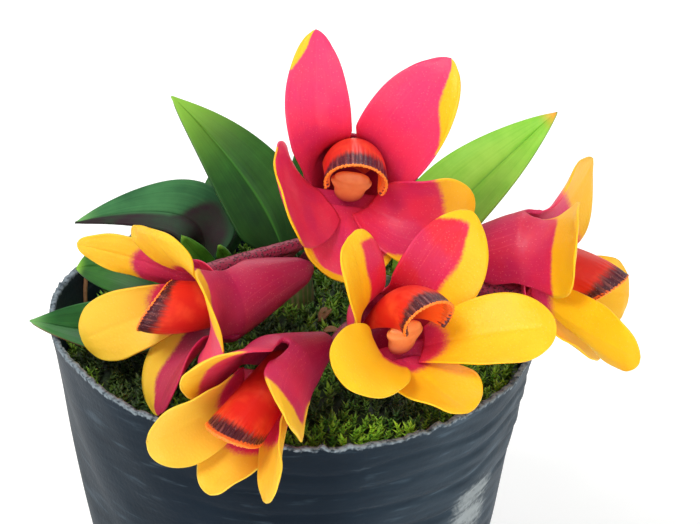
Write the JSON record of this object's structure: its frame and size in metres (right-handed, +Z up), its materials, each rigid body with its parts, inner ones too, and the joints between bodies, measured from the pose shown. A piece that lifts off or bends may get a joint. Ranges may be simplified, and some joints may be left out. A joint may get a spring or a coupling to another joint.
{
  "type": "potted dendrobium orchid",
  "caption": "Miniature dendrobium orchid in a soft nursery pot: short canes in moss, lance leaves, and red and yellow hooded flowers on short stalks.",
  "frame": {"origin": "centre of the pot's flat underside", "axes": "+Z up, the front of the plant at -Y, +X to the right as seen from the front"},
  "size_m": [0.0909, 0.092, 0.1114],
  "materials": {
    "soft_black_plastic": "soft slate-black nursery pot plastic, satin",
    "bark_and_sphagnum": "dark fibrous bark and sphagnum mix",
    "moss": "fine leafy green moss",
    "cane_skin": "olive green, lightly ribbed",
    "leaf_green": "dark green, waxy sheen",
    "young_leaf": "bright yellow-green, waxy sheen",
    "stalk_skin": "dark crimson, finely warty",
    "sepal_pink": "pink to crimson with yellow margins, velvety",
    "petal_yellow": "yellow with a crimson base, velvety",
    "lip_red": "orange-red with a dark maroon band, waxy",
    "column_peach": "peach, waxy"
  },
  "bodies": {
    "root": {"pot": "soft_black_plastic", "growing_medium": "bark_and_sphagnum", "moss_carpet": "moss", "cane_1": "cane_skin", "cane_2": "cane_skin", "cane_3": "cane_skin", "cane_4": "cane_skin", "cane_5": "cane_skin", "leaf_1": "leaf_green", "leaf_2": "young_leaf", "leaf_3": "leaf_green", "leaf_4": "leaf_green", "leaf_5": "leaf_green", "leaf_6": "leaf_green", "leaf_7": "leaf_green", "leaf_8": "leaf_green", "leaf_9": "leaf_green", "new_leaf_1": "young_leaf", "new_leaf_2": "young_leaf", "flower_a_pedicel": "stalk_skin", "flower_a_lateral_sepals": "sepal_pink", "flower_a_petal_left": "petal_yellow", "flower_a_petal_right": "petal_yellow", "flower_a_dorsal_sepal": "petal_yellow", "flower_a_lip": "lip_red", "flower_a_column": "column_peach", "flower_b_pedicel": "stalk_skin", "flower_b_lateral_sepals": "sepal_pink", "flower_b_petal_left": "petal_yellow", "flower_b_petal_right": "petal_yellow", "flower_b_dorsal_sepal": "petal_yellow", "flower_b_lip": "lip_red", "flower_b_column": "column_peach", "flower_c_pedicel": "stalk_skin", "flower_c_lateral_sepals": "sepal_pink", "flower_c_petal_left": "petal_yellow", "flower_c_petal_right": "petal_yellow", "flower_c_dorsal_sepal": "petal_yellow", "flower_c_lip": "lip_red", "flower_c_column": "column_peach", "flower_d_pedicel": "stalk_skin", "flower_d_lateral_sepals": "sepal_pink", "flower_d_petal_left": "petal_yellow", "flower_d_petal_right": "petal_yellow", "flower_d_dorsal_sepal": "petal_yellow", "flower_d_lip": "lip_red", "flower_d_column": "column_peach", "flower_e_pedicel": "stalk_skin", "flower_e_lateral_sepals": "sepal_pink", "flower_e_petal_left": "petal_yellow", "flower_e_petal_right": "petal_yellow", "flower_e_dorsal_sepal": "petal_yellow", "flower_e_lip": "lip_red", "flower_e_column": "column_peach"}
  },
  "joints": []
}
